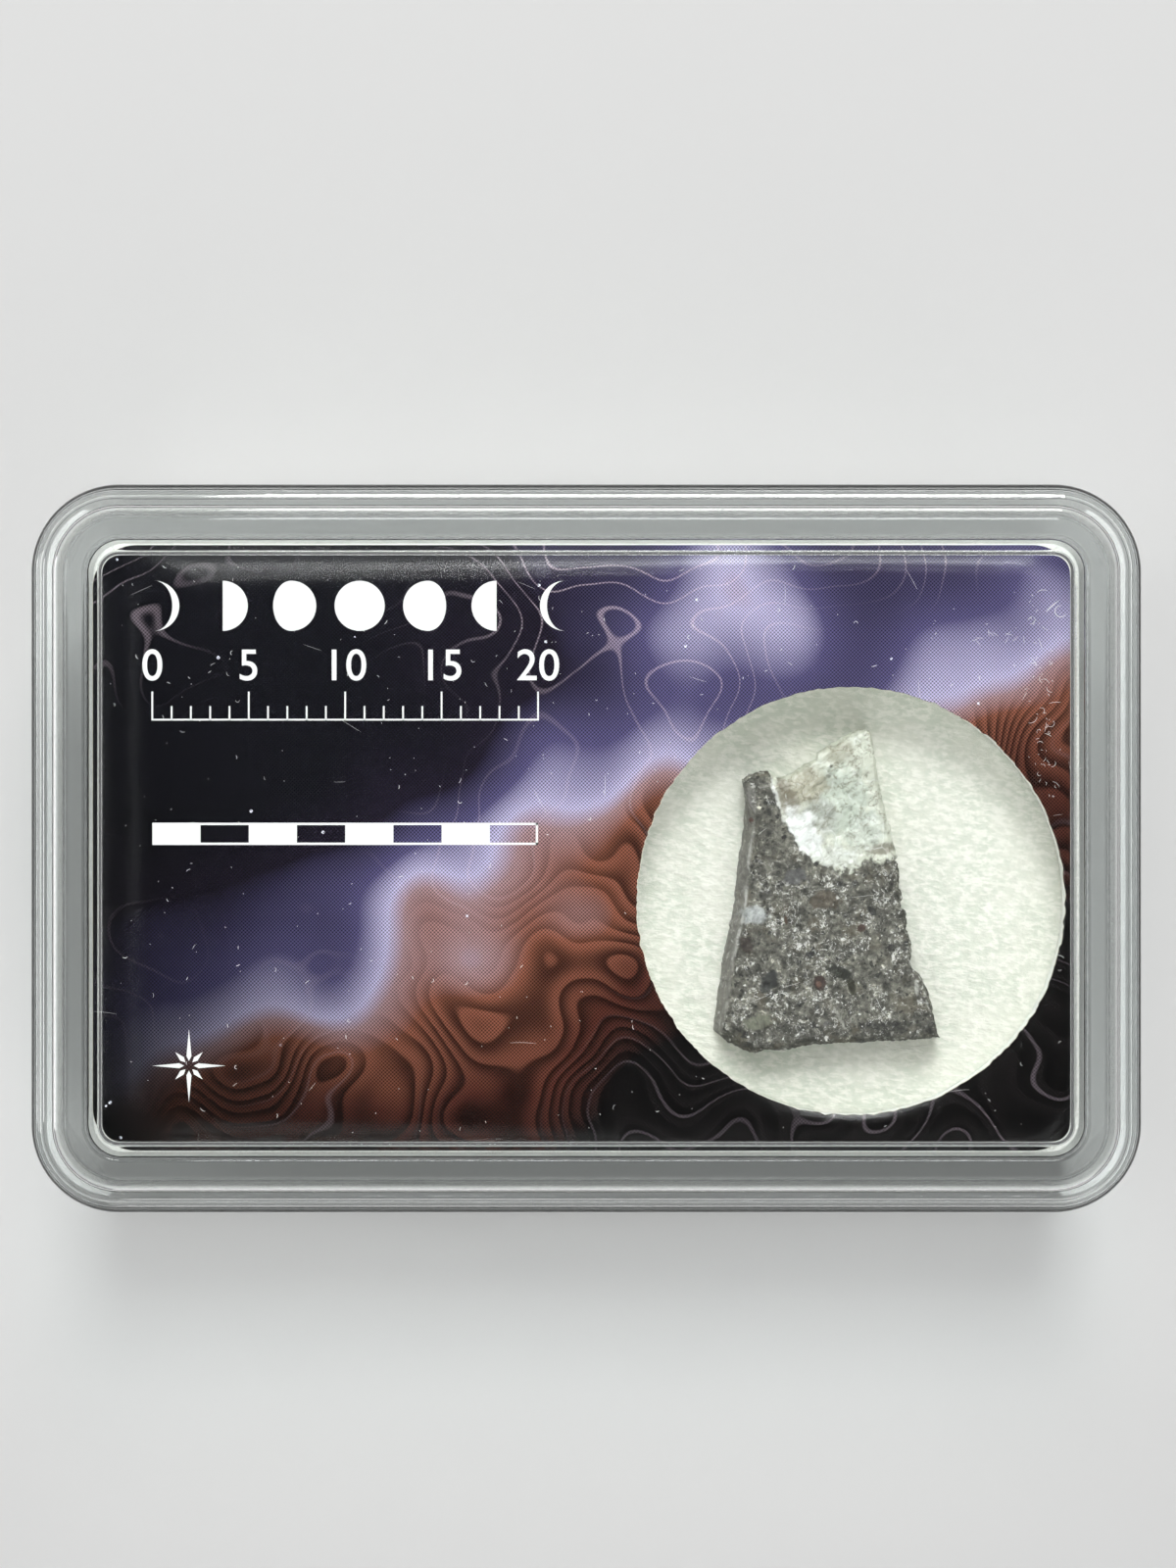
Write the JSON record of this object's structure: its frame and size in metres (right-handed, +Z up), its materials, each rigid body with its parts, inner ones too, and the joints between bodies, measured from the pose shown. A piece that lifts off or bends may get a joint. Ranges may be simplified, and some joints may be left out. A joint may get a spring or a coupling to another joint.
{
  "type": "lunar meteorite slice in a display box",
  "caption": "Sawn slice of a pale-clasted grey lunar breccia, lying on a white pad in the round window of a printed card, inside a clear lidded display box.",
  "frame": {"origin": "centre of the box's footprint, on the surface that its foot plate rests on", "axes": "+X along the box's long side, towards the end with the round window; +Y along its short side, towards the stone's white clast; +Z up through the lid"},
  "size_m": [0.057, 0.0374, 0.015],
  "materials": {
    "clear_plastic": "polished",
    "white_pad": "matte",
    "white_foam": "matte",
    "printed_card": "satin",
    "breccia": "matte"
  },
  "bodies": {
    "root": {"lid": "clear_plastic", "tray": "clear_plastic", "backing_pad": "white_pad", "foam_frame": "white_foam", "card": "printed_card", "meteorite_slice": "breccia"}
  },
  "joints": []
}
